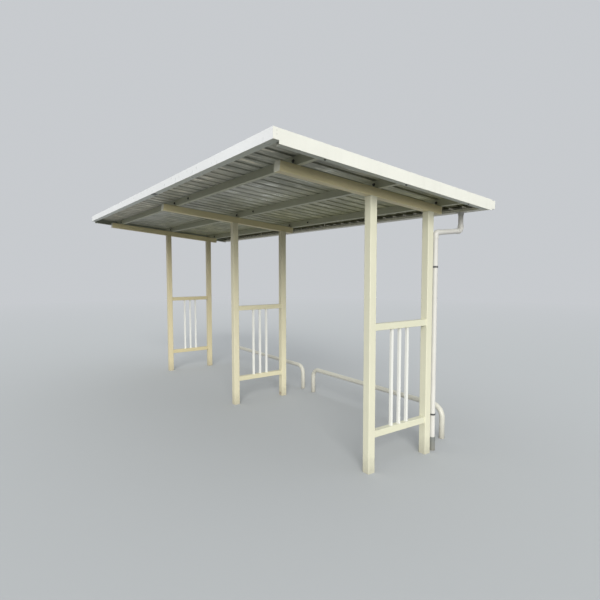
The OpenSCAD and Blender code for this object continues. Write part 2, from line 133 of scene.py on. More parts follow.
class ShelterDetails(bpy.types.PropertyGroup):
    """Sizes of the fasteners and welds."""

    bolt_across: length("Bolt Across Flats", 0.017, "Width of a purlin bolt's head")
    bolt_head: length("Bolt Head", 0.0075, "Height of a purlin bolt's head")
    bolt_washer: length("Bolt Washer", 0.023, "Diameter of a purlin bolt's washer")
    bolt_lift: length("Bolt Lift", 0.030, "Height of the bolts above a purlin's lower face")
    joint_bolt: length("Joint Bolt", 0.360, "Place of the bolt beside a purlin's joint")
    joint: length("Joint", 0.320, "Place of the front fascia's joint")
    splice: length("Splice", 0.090, "Length of the plate under the front fascia's joint")
    rivet: length("Rivet", 0.008, "Diameter of a rivet's head")
    screw_across: length("Screw Across Flats", 0.008, "Width of a roof screw's head")
    screw_washer: length("Screw Washer", 0.01596, "Diameter of a roof screw's washer")
    post_weld: length("Post Weld", 0.00272, "Radius of the bead where a post meets its beam")
    rail_weld: length("Rail Weld", 0.0028, "Radius of the bead at a rail's end")
    bar_weld: length("Bar Weld", 0.0019, "Radius of the bead at a bar's end")
    rib_step: length("Rib Step", 0.134, "Distance between the sheet's ribs")
    rib_height: length("Rib Height", 0.0194, "Height of a rib's crest above the purlins")
    rib_foot: length("Rib Foot", 0.034, "Width of a rib's foot")
    drip: length("Drip", 0.011, "Height of the sheet's turned-down ends")
    hoop_tube: length("Hoop Tube", 0.0486, "Outer diameter of the wheel hoops' tube")
    hoop_bend: length("Hoop Bend", 0.100, "Bend radius of a hoop's corners")
    rib_count: IntProperty(
        name="Ribs", description="Ribs on each side of the middle one", default=18, min=1
    )


class ShelterStudio(bpy.types.PropertyGroup):
    """Floor, light and camera."""

    floor: colour("Floor", (0.475, 0.495, 0.51), "Plain pale floor")
    backdrop: colour("Backdrop", (0.575, 0.595, 0.62), "What shows behind and far off")
    sky_tint: colour("Sky Tint", (0.97, 0.99, 1.0), "Colour of the even light")
    lamp_tint: colour("Lamp Tint", (1.0, 0.98, 0.94), "Colour of the soft lamp")
    near_bounce: FloatProperty(
        name="Near Bounce", description="Light that the floor by the shelter returns",
        default=0.37, min=0, max=1,
    )
    far_bounce: FloatProperty(
        name="Far Bounce", description="Light that the floor further off returns",
        default=0.10, min=0, max=1,
    )
    horizon: FloatProperty(
        name="Horizon", description="Part of the even light that comes from low down",
        default=0.25, min=0, max=1,
    )
    sky: FloatProperty(name="Sky", description="Strength of the even light", default=0.86, min=0)
    key: FloatProperty(name="Key", description="Strength of the soft lamp", default=2.8, min=0)
    key_spread: FloatProperty(
        name="Key Spread", description="How wide the soft lamp is", default=math.radians(32),
        subtype="ANGLE",
    )
    key_way: FloatVectorProperty(
        name="Key Way", description="Direction that the soft lamp stands in",
        default=(0.78, -0.52, 0.35), subtype="XYZ",
    )
    eye: FloatVectorProperty(
        name="Eye", description="Place of the camera", default=(4.531, -2.316, 1.4997),
        subtype="XYZ", unit="LENGTH",
    )
    turn: FloatVectorProperty(
        name="Turn", description="Yaw, pitch and roll of the camera",
        default=(0.9544, -0.0627, -0.0008), subtype="EULER", unit="ROTATION",
    )
    lens: FloatProperty(
        name="Lens", description="Focal length on a 36 mm sensor, in millimetres",
        default=26.941, min=1,
    )


# ---------------------------------------------------------------- materials


class Finish:
    """Builds one procedural material in the object's own coordinates."""

    def __init__(self, name, roughness):
        self.material = bpy.data.materials.new(f"{name}_finish")
        self.material.use_nodes = True
        self.nodes = self.material.node_tree.nodes
        self.nodes.clear()
        output = self.nodes.new("ShaderNodeOutputMaterial")
        self.shader = self.nodes.new("ShaderNodeBsdfPrincipled")
        self.join(self.shader.outputs[0], output.inputs[0])
        self.place = self.nodes.new("ShaderNodeTexCoord").outputs["Object"]
        self.shader.inputs["Roughness"].default_value = roughness

    def join(self, source, target):
        """Links an output to an input."""
        self.material.node_tree.links.new(source, target)

    def feed(self, socket, value):
        """Links a socket's output, or sets a plain value."""
        if isinstance(value, bpy.types.NodeSocket):
            self.join(value, socket)
        elif isinstance(value, (tuple, list)) and len(value) == 3:
            socket.default_value = (*value, 1) if socket.type == "RGBA" else value
        else:
            socket.default_value = value

    def stretched(self, x, y, z):
        """Coordinates scaled by a different amount along each axis."""
        node = self.nodes.new("ShaderNodeVectorMath")
        node.operation = "MULTIPLY"
        self.join(self.place, node.inputs[0])
        node.inputs[1].default_value = (x, y, z)
        return node.outputs[0]

    def noise(self, scale, detail, roughness, place=None):
        """Noise by the object's coordinates, or by others that are given."""
        node = self.nodes.new("ShaderNodeTexNoise")
        self.join(place or self.place, node.inputs["Vector"])
        node.inputs["Scale"].default_value = scale
        node.inputs["Detail"].default_value = detail
        node.inputs["Roughness"].default_value = roughness
        return node.outputs[0]

    def span(self, value, low, high, to_low=0.0, to_high=1.0):
        """Maps a value from one range to another and clamps it."""
        node = self.nodes.new("ShaderNodeMapRange")
        self.feed(node.inputs[0], value)
        for socket, number in zip(node.inputs[1:5], (low, high, to_low, to_high)):
            socket.default_value = number
        return node.outputs[0]

    def calc(self, operation, first, second=0.0):
        """One step of arithmetic."""
        node = self.nodes.new("ShaderNodeMath")
        node.operation = operation
        self.feed(node.inputs[0], first)
        self.feed(node.inputs[1], second)
        return node.outputs[0]

    def blend(self, amount, first, second, mode="MIX"):
        """Mixes two colours, or takes one times the other."""
        node = self.nodes.new("ShaderNodeMix")
        node.data_type, node.blend_type = "RGBA", mode
        self.feed(node.inputs["Factor"], amount)
        self.feed(node.inputs[6], first)
        self.feed(node.inputs[7], second)
        return node.outputs[2]

    def axis(self, index):
        """One of the object's coordinates."""
        node = self.nodes.new("ShaderNodeSeparateXYZ")
        self.join(self.place, node.inputs[0])
        return node.outputs[index]

    def facing(self, index):
        """One component of the surface's true direction."""
        geometry = self.nodes.new("ShaderNodeNewGeometry")
        node = self.nodes.new("ShaderNodeSeparateXYZ")
        self.join(geometry.outputs["True Normal"], node.inputs[0])
        return node.outputs[index]

    def combine(self, x, y, z=0.0):
        """Coordinates from three values."""
        node = self.nodes.new("ShaderNodeCombineXYZ")
        for socket, value in zip(node.inputs, (x, y, z)):
            self.feed(socket, value)
        return node.outputs[0]

    def near(self, centre, radius, soft):
        """One inside a ball round a place, fading to nought over the soft rim."""
        node = self.nodes.new("ShaderNodeVectorMath")
        node.operation = "DISTANCE"
        self.join(self.place, node.inputs[0])
        node.inputs[1].default_value = centre
        return self.span(node.outputs["Value"], radius + soft, radius)

    def inner_and_shaded_side(self):
        """One on faces that look down, to the rear or towards the shelter's middle."""
        inward = self.calc("MULTIPLY", self.calc("SIGN", self.axis(0)), self.facing(0))
        part, full = 0.7, 0.8  # how far a face's direction goes along an axis
        inward = self.span(inward, -part, -full)
        rear, down = self.span(self.facing(1), part, full), self.span(self.facing(2), -part, -full)
        return self.calc("MAXIMUM", inward, self.calc("MAXIMUM", rear, down))

    def bump(self, height, strength, distance):
        """Fine relief on top of any that is there already."""
        node = self.nodes.new("ShaderNodeBump")
        node.inputs["Strength"].default_value = strength
        node.inputs["Distance"].default_value = distance
        self.join(height, node.inputs["Height"])
        last = self.shader.inputs["Normal"]
        if last.is_linked:
            self.join(last.links[0].from_socket, node.inputs["Normal"])
        self.join(node.outputs[0], last)

    def splashed(self, body, grime_and_shade, share, scale, reach, soft):
        """Dirt splashed up from the floor, in patches as high as the reach."""
        patches = self.calc("MULTIPLY", self.noise(scale, 5, 0.7), reach)
        height = self.calc("SUBTRACT", self.axis(2), patches)
        return self.blend(self.span(height, soft, -soft, 0, share), body, grime_and_shade)


def shade(tone, factor):
    """A colour times a factor."""
    return tuple(min(1.0, c * factor) for c in tone)


def painted_metal(name, tone, grime_and_shade, roughness=0.36, foot=0.0, streaks=0.0, top_dust=0.0,
                  rust=None, backing_and_shade=None, painted_shade_tint=None, painted_gutter_shade=None, specked=0.10,
                  fixings=None):
    """Sprayed paint: slow mottling, orange peel, dust, and dirt splashed up from the floor."""
    f = Finish(name, roughness)
    slow = f.span(f.noise(1.7, 4, 0.6), 0.32, 0.68)
    body = f.blend(slow, shade(tone, 0.955), shade(tone, 1.03))
    # Painted shade: the tone turns darker and yellower from the right end towards the left end
    if painted_shade_tint:
        painted_warm_shade = f.span(f.axis(0), 2.3, -2.3)
        body = f.blend(painted_warm_shade, body, tuple(a * b for a, b in zip(tone, painted_shade_tint)))
    # Faces to the rear and towards the middle take the backing coat; faces that look down take it
    # too, which on the lower returns is painted shade
    if backing_and_shade:
        body = f.blend(f.inner_and_shaded_side(), body, backing_and_shade)
    # Painted shade: the inside of the gutter's channel much darker, under the end of the sheet
    if painted_gutter_shade:
        front, rear, low = painted_gutter_shade
        soft = 0.0006
        inside = f.calc("MULTIPLY", f.span(f.axis(1), front, front + soft),
                        f.span(f.axis(1), rear, rear - soft))
        inside = f.calc("MULTIPLY", inside, f.span(f.axis(2), low, low + soft))
        body = f.blend(f.calc("MULTIPLY", inside, 0.86), body, shade(grime_and_shade, 0.30))
    for spot in fixings or ():
        ring = f.calc("MULTIPLY", f.near(spot, 0.0035, 0.003), 0.16)
        body = f.blend(ring, body, shade(grime_and_shade, 0.8))
    specks = f.span(f.noise(160, 2, 0.7), 0.60, 0.80, 0, specked)
    body = f.blend(specks, body, grime_and_shade)
    if streaks:
        runs = f.noise(1.0, 4, 0.65, f.stretched(26, 26, 1.6))
        body = f.blend(f.span(runs, 0.50, 0.80, 0, streaks), body, grime_and_shade)
    if foot:
        body = f.splashed(body, grime_and_shade, foot, scale=34, reach=0.16, soft=0.075)
    if top_dust:
        up = f.span(f.facing(2), 0.35, 0.95)
        patches = f.span(f.noise(5.5, 6, 0.65), 0.34, 0.72, 0.25, 1.0)
        amount = f.calc("MULTIPLY", f.calc("MULTIPLY", up, patches), top_dust)
        body = f.blend(amount, body, grime_and_shade)
    if rust:
        chips = f.span(f.noise(75, 4, 0.7), 0.44, 0.56)
        spot = f.calc("MULTIPLY", f.near(RUST_SPOT, 0.010, 0.016), chips)
        body = f.blend(spot, body, rust)
    f.join(body, f.shader.inputs["Base Color"])
    gloss = f.span(f.noise(23, 3, 0.6), 0.3, 0.7, roughness - 0.05, roughness + 0.10)
    f.join(gloss, f.shader.inputs["Roughness"])
    f.bump(f.noise(420, 1, 0.4), 0.10, 0.0004)
    f.bump(f.noise(9, 2, 0.5), 0.12, 0.0010)
    return f.material


def moulded_plastic(name, tone, grime_and_shade, foot):
    """Extruded pipe: faint lines along it, splashed dirt and a dull surface."""
    roughness = 0.5
    f = Finish(name, roughness)
    body = f.blend(f.span(f.noise(3.1, 4, 0.6), 0.3, 0.7), shade(tone, 0.95), shade(tone, 1.03))
    lines = f.noise(1.0, 3, 0.6, f.stretched(190, 190, 2.2))
    body = f.blend(f.span(lines, 0.55, 0.85, 0, 0.16), body, grime_and_shade)
    body = f.splashed(body, grime_and_shade, foot, scale=42, reach=0.14, soft=0.07)
    f.join(body, f.shader.inputs["Base Color"])
    gloss = f.span(f.noise(60, 3, 0.6), 0.3, 0.7, roughness - 0.08, roughness + 0.10)
    f.join(gloss, f.shader.inputs["Roughness"])
    f.bump(lines, 0.08, 0.0006)
    return f.material


def coated_sheet(name, tone, grime_and_shade, backing_and_shade, rib_step):
    """Rolled, coated sheet: dusty on top, with a dull backing coat below and painted reflections
    there as bright streaks and glints.
    """
    roughness, dullest = 0.44, 0.50
    f = Finish(name, roughness)
    spangle = f.span(f.noise(95, 2, 0.5), 0.35, 0.65)
    lines = f.noise(1.0, 4, 0.6, f.stretched(70, 1.4, 3.0))
    top = f.blend(spangle, shade(tone, 0.93), shade(tone, 1.06))
    top = f.blend(f.span(lines, 0.45, 0.80, 0, 0.16), top, shade(tone, 0.62))
    patches = f.span(f.noise(3.4, 7, 0.68), 0.36, 0.70, 0.12, 0.50)
    top = f.blend(patches, top, grime_and_shade)

    # Below, each pan between two ribs gets painted reflections of its own: dashes and fine light
    # lines
    along = f.calc("DIVIDE", f.axis(0), rib_step)
    from_rib = f.calc("SUBTRACT", f.calc("FRACT", f.calc("ADD", along, 0.5)), 0.5)
    from_rib = f.calc("ABSOLUTE", from_rib)
    pan = f.calc("MULTIPLY", f.calc("FLOOR", along), 5.17)
    row = f.combine(pan, f.calc("MULTIPLY", f.axis(1), 5.6))
    strip = f.combine(f.calc("MULTIPLY", f.axis(0), 46), f.calc("MULTIPLY", f.axis(1), 4.2), pan)
    dash = f.span(f.noise(1.0, 2, 0.5, row), 0.50, 0.60)
    streak_glints = f.span(f.noise(1.0, 2, 0.6, strip), 0.50, 0.60)
    # How strong the painted reflections are: dull everywhere, stronger round the glint places
    zone = dullest
    for centre, radius, soft, weight in PAINTED_GLINT_PLACES:
        spot = f.calc("MULTIPLY", f.near(centre, radius, soft), weight)
        zone = f.calc("MAXIMUM", spot, zone)
    flat = f.span(from_rib, 0.14, 0.17)
    streak_glints = f.calc("MULTIPLY", streak_glints, flat)
    glint = f.calc("MULTIPLY", f.calc("MULTIPLY", dash, streak_glints), zone)
    under = f.blend(spangle, shade(backing_and_shade, 0.92), shade(backing_and_shade, 1.08))
    # Painted reflection: whole pans darker and lighter in slow patches
    uneven_sheen = f.span(f.noise(1.0, 3, 0.6, f.combine(pan, f.calc("MULTIPLY", f.axis(1), 2.3), 3.1)),
                  0.34, 0.58)
    under = f.blend(uneven_sheen, shade(backing_and_shade, 0.70), under)
    under = f.blend(f.span(lines, 0.40, 0.75, 0, 0.30), under, shade(backing_and_shade, 0.5))
    # Painted reflection: fine light streaks along the pans
    under = f.blend(f.calc("MULTIPLY", streak_glints, 0.48), under, (0.80, 0.79, 0.68))
    # Painted shade: darker along the rib hollows
    under = f.blend(f.span(from_rib, 0.10, 0.07, 0, 0.20), under, shade(backing_and_shade, 0.12))
    # Colour of the painted reflections, warmer along the front strip
    shine = f.blend(f.span(f.axis(1), -0.62, -0.72), (0.88, 0.89, 0.84), (0.90, 0.84, 0.68))
    # Painted reflection: pans lighter round the glint places
    under = f.blend(f.span(zone, dullest, 1.0, 0, 0.34), under, shine)
    # Painted glints in the base colour; the same mask below makes the glints metallic and smoother
    under = f.blend(glint, under, shine)
    # Painted shade: the underside turns yellower towards the rear
    painted_warm_shade = f.span(f.axis(1), -0.5, 0.5, 0, 0.85)
    under = f.blend(painted_warm_shade, under, (0.97, 0.95, 0.68), "MULTIPLY")
    below = f.span(f.facing(2), 0.05, -0.05)
    f.join(f.blend(below, top, under), f.shader.inputs["Base Color"])
    glint = f.calc("MULTIPLY", glint, below)
    f.join(f.calc("MULTIPLY", glint, 0.85), f.shader.inputs["Metallic"])
    gloss = f.span(f.noise(18, 4, 0.6), 0.3, 0.7, roughness - 0.06, roughness + 0.12)
    f.join(f.calc("SUBTRACT", gloss, f.calc("MULTIPLY", glint, 0.18)),
           f.shader.inputs["Roughness"])
    f.shader.inputs["Specular IOR Level"].default_value = 0.16
    f.bump(lines, 0.10, 0.0008)
    f.bump(f.noise(6, 2, 0.5), 0.14, 0.0016)
    return f.material


def zinc_plate(name, tone):
    """Plated steel of the fasteners."""
    roughness = 0.42
    f = Finish(name, roughness)
    cloud = f.span(f.noise(240, 3, 0.6), 0.35, 0.65)
    f.join(f.blend(cloud, shade(tone, 0.70), shade(tone, 1.10)), f.shader.inputs["Base Color"])
    f.join(f.span(cloud, 0, 1, roughness - 0.08, roughness + 0.13), f.shader.inputs["Roughness"])
    f.shader.inputs["Metallic"].default_value = 0.75
    f.bump(f.noise(900, 1, 0.5), 0.15, 0.0003)
    return f.material


def material_of(name):
    """A finish by its name, made on first use from the scene's settings."""
    found = bpy.data.materials.get(f"{name}_finish")
    if found:
        return found
    tones = bpy.context.scene.shelter_finishes
    tone = tuple(getattr(tones, name))
    grime_and_shade, backing_and_shade = tuple(tones.grime_and_shade), tuple(tones.backing_coat_and_shade)
    if name in ("rain_pipe", "drain_grey"):
        return moulded_plastic(name, tone, grime_and_shade, foot=0.30 if name == "rain_pipe" else 0.55)
    if name == "roof_sheet":
        step = bpy.context.scene.shelter_details.rib_step
        return coated_sheet(name, tone, grime_and_shade, tuple(tones.sheet_back), step)
    if name in ("zinc", "dark_bolt"):
        return zinc_plate(name, tone)
    extras = {
        # Painted shade on the posts: darker and yellower towards the left
        "frame_paint": dict(foot=0.42, rust=tuple(tones.rust), painted_shade_tint=(0.89, 0.80, 0.66)),
        "beam_paint": dict(roughness=0.44),
        "hoop_paint": dict(foot=0.42),
        "fascia_paint": dict(streaks=0.07, top_dust=0.20, roughness=0.38, backing_and_shade=backing_and_shade,
                             fixings=FACE_FIXINGS),
        "front_paint": dict(streaks=0.025, top_dust=0.20, roughness=0.30, backing_and_shade=backing_and_shade,
                            specked=0.015),
        # Painted shade inside the gutter's channel
        "gutter_sheet": dict(streaks=0.18, roughness=0.42, painted_gutter_shade=gutter_inside()),
        "purlin_paint": dict(top_dust=0.20, roughness=0.52),
        # Painted shade on the rails: darker and yellower towards the left
        "rail_paint": dict(top_dust=0.16, foot=0.30, painted_shade_tint=(0.85, 0.75, 0.58)),
        "clip_metal": dict(roughness=0.5),
    }
    return painted_metal(name, tone, grime_and_shade, **extras.get(name, {}))


def dress(nodes, name):
    """Gives CAD nodes a finish."""
    for node in nodes:
        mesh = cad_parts[node].data
        mesh.materials.clear()
        mesh.materials.append(material_of(name))


# ---------------------------------------------------------------- geometry


def add_piece(name, bm, finish, smooth=True):
    """Turns a bmesh into a piece that rides on the shelter."""
    bmesh.ops.recalc_face_normals(bm, faces=bm.faces)
    mesh = bpy.data.meshes.new(name)
    bm.to_mesh(mesh)
    bm.free()
    if smooth:
        mesh.shade_smooth()
    mesh.materials.append(material_of(finish))
    piece = bpy.data.objects.new(name, mesh)
    bpy.context.scene.collection.objects.link(piece)
    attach(piece, "root")
    return piece


def turned_to(axis, place):
    """Matrix that takes local Z to an axis and the origin to a place."""
    return Matrix.Translation(place) @ axis.to_track_quat("Z", "Y").to_matrix().to_4x4()


def skin(bm, loops):
    """Joins each closed loop of vertices to the next one."""
    for here, there in zip(loops, loops[1:]):
        for i in range(len(here)):
            n = (i + 1) % len(here)
            bm.faces.new((here[i], here[n], there[n], there[i]))


def skin_closed(bm, loops):
    """Joins loops of vertices and closes the first and the last."""
    skin(bm, loops)
    bm.faces.new(loops[-1])
    bm.faces.new(loops[0])


def add_rings(bm, matrix, sides, rings):
    """Solid from a stack of (radius, height) rings with the same number of sides."""
    loops = []
    for radius, height in rings:
        loops.append([
            bm.verts.new(matrix @ Vector((
                radius * math.cos(math.tau * i / sides),
                radius * math.sin(math.tau * i / sides), height,
            )))
            for i in range(sides)
        ])
    skin_closed(bm, loops)


def add_hex_head(bm, matrix, across, height, base):
    """Hexagonal head with a chamfered top, on a washer as thick as the base."""
    radius = across / math.sqrt(3)
    add_rings(bm, matrix, 6, [
        (radius, base), (radius, base + height * 0.82), (radius * 0.86, base + height),
    ])


def add_washer(bm, matrix, diameter, thick, dome=0.0):
    """Round washer with eased edges, domed if asked."""
    r = diameter / 2
    add_rings(bm, matrix, 24, [
        (r * 0.97, 0.0), (r, thick * 0.3), (r * 0.96, thick), (r * 0.45, thick + dome),
    ])


def add_bead(bm, loop, radius, seed):
    """Weld bead round a closed loop of points, with ripples and a little unevenness."""
    sides, count = 6, len(loop)
    centre = sum(loop, Vector()) / count
    rings = []
    for i, point in enumerate(loop):
        ahead = (loop[(i + 1) % count] - loop[i - 1]).normalized()
        out = (point - centre).normalized()
        side = ahead.cross(out).normalized()
        out = side.cross(ahead).normalized()
        wave = 1 + 0.10 * math.sin(i * 1.9) + 0.22 * noise.noise(point * 90 + Vector((seed, 0, 0)))
        rings.append([
            bm.verts.new(point + radius * wave * (
                math.cos(math.tau * k / sides) * out + math.sin(math.tau * k / sides) * side
            ))
            for k in range(sides)
        ])
    skin(bm, rings + rings[:1])


def square_loop(centre, u, v, side, corner, step):
    """Points round a square with round corners, in the plane of u and v."""
    half = side / 2
    points = []
    for quarter in range(4):
        a = math.tau * quarter / 4
        turn = Matrix(((math.cos(a), -math.sin(a)), (math.sin(a), math.cos(a))))
        straight = max(2, round((side - 2 * corner) / step))
        flat = [Vector((half, -half + corner + (side - 2 * corner) * i / straight))
                for i in range(straight)]
        arc = [Vector((half - corner + corner * math.cos(t), half - corner + corner * math.sin(t)))
               for t in (0, math.pi / 8, math.pi / 4, 3 * math.pi / 8)]
        for p in flat + arc:
            q = turn @ p
            points.append(centre + q.x * u + q.y * v)
    return points


def gutter_inside():
    """Front and rear limits of the gutter's channel, and its floor."""
    wall, below = 0.0012, 0.0004
    low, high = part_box("gutter_floor")
    return low.y + wall, high.y - wall, high.z - below


def slope_axes():
    """Directions down the roof and square to it, read from the purlins."""
    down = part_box("rear_purlin")[0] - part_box("front_purlin")[0]
    down = Vector((0, down.y, down.z)).normalized()
    return down, Vector((0, -down.z, down.y))


def purlin_frame(node):
    """Lower front corner of a purlin's section, with its width and height."""
    down = slope_axes()[0]
    c, s = down.y, -down.z
    low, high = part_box(node)
    across, tall = high.y - low.y, high.z - low.z
    width = (across * c - tall * s) / (c * c - s * s)
    height = (tall * c - across * s) / (c * c - s * s)
    return Vector((0, low.y, low.z + width * s)), width, height


def screwed_ribs(sizes):
    """Places along X of every other rib, short of the gables."""
    return [k * sizes.rib_step for k in range(2 - sizes.rib_count, sizes.rib_count, 2)]


# ---------------------------------------------------------------- operators


class SHELTER_OT_paint_frames(bpy.types.Operator):
    """Paint posts, beams and guards"""

    bl_idname = "shelter.paint_frames"
    bl_label = "Paint Frames"

    def execute(self, context):
        dress(POSTS, "frame_paint")
        dress(BEAMS, "beam_paint")
        dress(RAILS, "rail_paint")
        dress(BARS, "bar_paint")
        dress(["beam_end_caps"], "cap_paint")
        return {"FINISHED"}


class SHELTER_OT_finish_roof(bpy.types.Operator):
    """Finish the sheet, purlins, fascias and gutter"""

    bl_idname = "shelter.finish_roof"
    bl_label = "Finish Roof"

    def execute(self, context):
        dress(PURLINS + ["purlin_cleats", "purlin_joint_plates"], "purlin_paint")
        dress(["roof_sheet"], "roof_sheet")
        dress(["front_fascia"], "front_paint")
        dress(["right_gable_fascia", "left_gable_fascia", "gutter_end_caps"], "fascia_paint")
        dress(["gutter_floor", "gutter_front_wall", "gutter_rear_wall", "gutter_hangers"],
              "gutter_sheet")
        return {"FINISHED"}


class SHELTER_OT_finish_pipes(bpy.types.Operator):
    """Finish the rain pipe, its clips and the drain socket"""

    bl_idname = "shelter.finish_pipes"
    bl_label = "Finish Pipes"

    def execute(self, context):
        dress(["gutter_outlet", "upper_elbow", "offset_pipe", "lower_elbow", "downpipe"],
              "rain_pipe")
        dress(["drain_socket"], "drain_grey")
        dress(["pipe_clips"], "clip_metal")
        return {"FINISHED"}


class SHELTER_OT_purlin_bolts(bpy.types.Operator):
    """Bolt the purlins to their cleats and joint plates"""

    bl_idname = "shelter.purlin_bolts"
    bl_label = "Purlin Bolts"

    def execute(self, context):
        sizes = context.scene.shelter_details
        down, square = slope_axes()
        aside = 0.012  # from a beam's middle to its bolt
        thick, nut, shank = 0.0016, 0.0065, 0.004
        behind = 0.0066  # from a purlin's front face to the back of its plate
        places = [sum(b.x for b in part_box(node)) / 2 - aside for node in BEAMS]
        bm = bmesh.new()
        for node in PURLINS:
            corner = purlin_frame(node)[0]
            for x in places + [sizes.joint_bolt]:
                place = corner + Vector((x, 0, 0)) + square * sizes.bolt_lift
                front = turned_to(-down, place)
                add_washer(bm, front, sizes.bolt_washer, thick)
                add_hex_head(bm, front, sizes.bolt_across, sizes.bolt_head, thick)
                back = turned_to(down, place + down * behind)
                add_washer(bm, back, sizes.bolt_washer, thick)
                add_hex_head(bm, back, sizes.bolt_across, nut, thick)
                add_rings(bm, back, 16, [(shank, 0.008), (shank, 0.0118), (shank * 0.8, 0.0125)])
        add_piece("purlin_bolts", bm, "dark_bolt", smooth=False)
        return {"FINISHED"}


class SHELTER_OT_roof_screws(bpy.types.Operator):
    """Screw the sheet to the purlins through its crests"""

    bl_idname = "shelter.roof_screws"
    bl_label = "Roof Screws"

    def execute(self, context):
        sizes = context.scene.shelter_details
        down, square = slope_axes()
        washer, dome, head, head_base = 0.0010, 0.0006, 0.0050, 0.0012
        bm = bmesh.new()
        for node in PURLINS:
            corner, width, height = purlin_frame(node)
            lift = height + sizes.rib_height + GAP
            for x in screwed_ribs(sizes):
                place = corner + Vector((x, 0, 0)) + down * width / 2
                up = turned_to(square, place + square * lift)
                add_washer(bm, up, sizes.screw_washer, washer, dome)
                add_hex_head(bm, up, sizes.screw_across, head, head_base)
        add_piece("roof_screws", bm, "zinc", smooth=False)
        return {"FINISHED"}


class SHELTER_OT_fascia_fixings(bpy.types.Operator):
    """Rivet the fascias' flanges, screw their returns and join the front fascia"""

    bl_idname = "shelter.fascia_fixings"
    bl_label = "Fascia Fixings"

    def execute(self, context):
        sizes = context.scene.shelter_details
        down, square = slope_axes()
        fall = -down.z / down.y
        self.add_rivets(sizes, square, fall)
        self.add_return_screws(square, fall)
        self.add_splice(sizes, square, fall)
        return {"FINISHED"}

    def add_rivets(self, sizes, square, fall):
        """Rivets along the flanges on top of the gables and of the front fascia."""
        low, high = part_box("right_gable_fascia")
        count, first, last, inset = 7, 0.070, 0.050, 0.018
        bm = bmesh.new()
        for side in (-1, 1):
            for i in range(count):
                y = low.y + first + (high.y - low.y - first - last) * i / (count - 1)
                place = Vector((side * (high.x - inset), y, high.z - (y - low.y) * fall))
                self.add_rivet(bm, turned_to(square, place), sizes.rivet)
        low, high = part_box("front_fascia")
        top = high.z - inset * fall - sizes.rivet * 0.22  # a head ends level with the edge
        for x in screwed_ribs(sizes):
            place = Vector((x, low.y + inset, top))
            self.add_rivet(bm, turned_to(square, place), sizes.rivet)
        add_piece("fascia_rivets", bm, "zinc")

    def add_return_screws(self, square, fall):
        """Screws up through the gables' returns, one behind each purlin."""
        low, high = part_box("right_gable_fascia")
        behind, inset = 0.008, 0.021
        washer, thick, across, head = 0.016, 0.0012, 0.0095, 0.0050
        bm = bmesh.new()
        for node in PURLINS:
            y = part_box(node)[1].y + behind
            z = low.z + (high.y - y) * fall - GAP
            for side in (-1, 1):
                under = turned_to(-square, Vector((side * (high.x - inset), y, z)))
                add_washer(bm, under, washer, thick)
                add_hex_head(bm, under, across, head, thick)
        add_piece("return_screws", bm, "dark_bolt", smooth=False)

    def add_splice(self, sizes, square, fall):
        """Plate with clipped corners and two rivets under the front fascia's joint."""
        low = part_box("front_fascia")[0]
        half, thick, clip = sizes.splice / 2, 0.0012, 0.003
        near, far = low.y + 0.002, low.y + 0.044
        rivets = 0.030  # from the joint to each rivet
        hinge = low.y + 0.050  # where the return's underside is lowest
        bm = bmesh.new()
        rows = []
        for t in (-half, clip - half, half - clip, half):
            inset = clip if abs(t) == half else 0.0
            row = []
            for y, drop in ((near + inset, 0), (near + inset, thick),
                            (far - inset, thick), (far - inset, 0)):
                z = low.z + (hinge - y) * fall - drop - GAP
                row.append(bm.verts.new((sizes.joint + t, y, z)))
            rows.append(row)
        skin_closed(bm, rows)
        y = (near + far) / 2
        z = low.z + (hinge - y) * fall - thick - GAP
        for t in (-rivets, rivets):
            self.add_rivet(bm, turned_to(-square, Vector((sizes.joint + t, y, z))), sizes.rivet)
        add_piece("fascia_splice", bm, "dark_bolt", smooth=False)

    def add_rivet(self, bm, matrix, diameter):
        """Flat domed head."""
        r = diameter / 2
        add_rings(bm, matrix, 16, [
            (r, 0), (r * 0.96, r * 0.18), (r * 0.75, r * 0.36), (r * 0.36, r * 0.44),
        ])


class SHELTER_OT_sheet_drips(bpy.types.Operator):
    """Turn down the pans of the sheet at the gutter"""

    bl_idname = "shelter.sheet_drips"
    bl_label = "Sheet Drips"

    def execute(self, context):
        sizes = context.scene.shelter_details
        low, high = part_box("roof_sheet")
        lap, columns, thick, clear = 0.0002, 10, 0.0008, 0.003
        end, base = high.y - lap, low.z
        bm = bmesh.new()
        for k in range(-sizes.rib_count, sizes.rib_count):
            left = k * sizes.rib_step + sizes.rib_foot / 2 + clear
            right = (k + 1) * sizes.rib_step - sizes.rib_foot / 2 - clear
            rows = []
            for i in range(columns + 1):
                u = i / columns
                deep = sizes.drip * (0.55 + 0.45 * math.sin(math.pi * u) ** 0.35)
                x = left + (right - left) * u
                path = [(0.0, 0.0), (0.0012, -0.0010), (0.0045, -deep * 0.5), (0.0080, -deep)]
                rows.append([[bm.verts.new((x, end + y + t, base + z)) for y, z in path]
                             for t in (0.0, thick)])
            for here, there in zip(rows, rows[1:]):
                for side in (0, 1):
                    for j in range(3):
                        bm.faces.new((here[side][j], here[side][j + 1],
                                      there[side][j + 1], there[side][j]))
                for j in (0, 3):
                    bm.faces.new((here[0][j], here[1][j], there[1][j], there[0][j]))
            for row in (rows[0], rows[-1]):
                for j in range(3):
                    bm.faces.new((row[0][j], row[0][j + 1], row[1][j + 1], row[1][j]))
        # The drips take a near-white colour, a painted highlight
        add_piece("sheet_drips", bm, "drip_edge", smooth=False)
        return {"FINISHED"}


